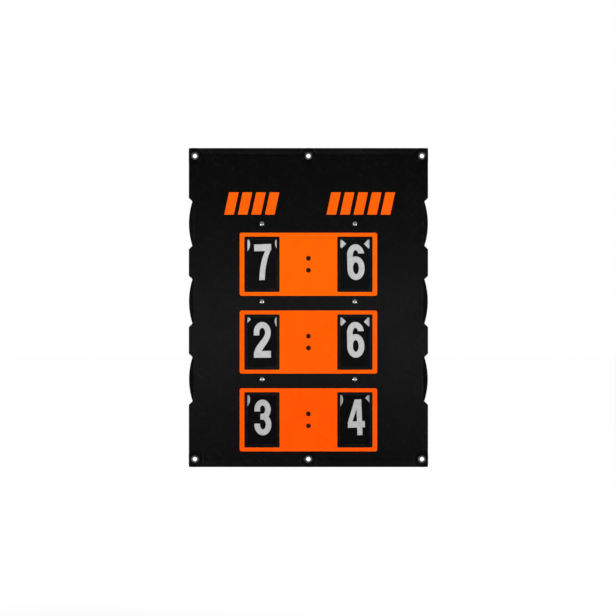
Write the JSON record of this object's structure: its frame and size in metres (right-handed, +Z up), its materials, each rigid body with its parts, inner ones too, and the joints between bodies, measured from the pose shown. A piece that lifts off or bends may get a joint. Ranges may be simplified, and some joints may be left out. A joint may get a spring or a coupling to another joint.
{
  "type": "tennis scoreboard",
  "caption": "Flat hanging tennis scoreboard: two black plastic sheets with turning number wheels between them, shown in windows of orange plates.",
  "frame": {"origin": "the middle of the six eyelets' pattern, on the plane where the two sheets are clamped together", "axes": "+Z up, +X to the right of someone reading the board, and the front faces -Y"},
  "size_m": [0.6, 0.0143, 0.8],
  "materials": {
    "black_sheet": "satin, flexible sheet",
    "orange_plate": "satin orange",
    "orange_print": "raised print",
    "dark_print": "raised print",
    "wheel_plastic": "fine matt",
    "numeral_print": "raised print",
    "bright_metal": "bright plated",
    "spacer_plastic": "natural moulded",
    "eyelet_metal": "dark plated, worn"
  },
  "bodies": {
    "board": {"front_panel": "black_sheet", "back_panel": "black_sheet", "score_plate_1": "orange_plate", "score_plate_2": "orange_plate", "score_plate_3": "orange_plate", "score_colons": "dark_print", "home_marks": "orange_print", "guest_marks": "orange_print", "pivot_posts": "bright_metal", "pivot_screws": "bright_metal", "front_spacers": "spacer_plastic", "rear_spacers": "spacer_plastic", "eyelets": "eyelet_metal", "eyelet_washers": "eyelet_metal"},
    "home_wheel_1": {"home_wheel_1": "wheel_plastic", "home_numbers_1": "numeral_print"},
    "guest_wheel_1": {"guest_wheel_1": "wheel_plastic", "guest_numbers_1": "numeral_print"},
    "home_wheel_2": {"home_wheel_2": "wheel_plastic", "home_numbers_2": "numeral_print"},
    "guest_wheel_2": {"guest_wheel_2": "wheel_plastic", "guest_numbers_2": "numeral_print"},
    "home_wheel_3": {"home_wheel_3": "wheel_plastic", "home_numbers_3": "numeral_print"},
    "guest_wheel_3": {"guest_wheel_3": "wheel_plastic", "guest_numbers_3": "numeral_print"}
  },
  "joints": [
    {"name": "home_turn_1", "type": "hinge", "parent": "board", "child": "home_wheel_1", "pos_m": [-0.1165, -0.00325, 0.2105], "axis": [0, 1, 0], "continuous": true},
    {"name": "guest_turn_1", "type": "hinge", "parent": "board", "child": "guest_wheel_1", "pos_m": [0.1165, -0.00195, 0.2105], "axis": [0, 1, 0], "continuous": true},
    {"name": "home_turn_2", "type": "hinge", "parent": "board", "child": "home_wheel_2", "pos_m": [-0.1165, -0.00065, 0.0155], "axis": [0, 1, 0], "continuous": true},
    {"name": "guest_turn_2", "type": "hinge", "parent": "board", "child": "guest_wheel_2", "pos_m": [0.1165, 0.00065, 0.0155], "axis": [0, 1, 0], "continuous": true},
    {"name": "home_turn_3", "type": "hinge", "parent": "board", "child": "home_wheel_3", "pos_m": [-0.1165, 0.00195, -0.1795], "axis": [0, 1, 0], "continuous": true},
    {"name": "guest_turn_3", "type": "hinge", "parent": "board", "child": "guest_wheel_3", "pos_m": [0.1165, 0.00325, -0.1795], "axis": [0, 1, 0], "continuous": true}
  ]
}
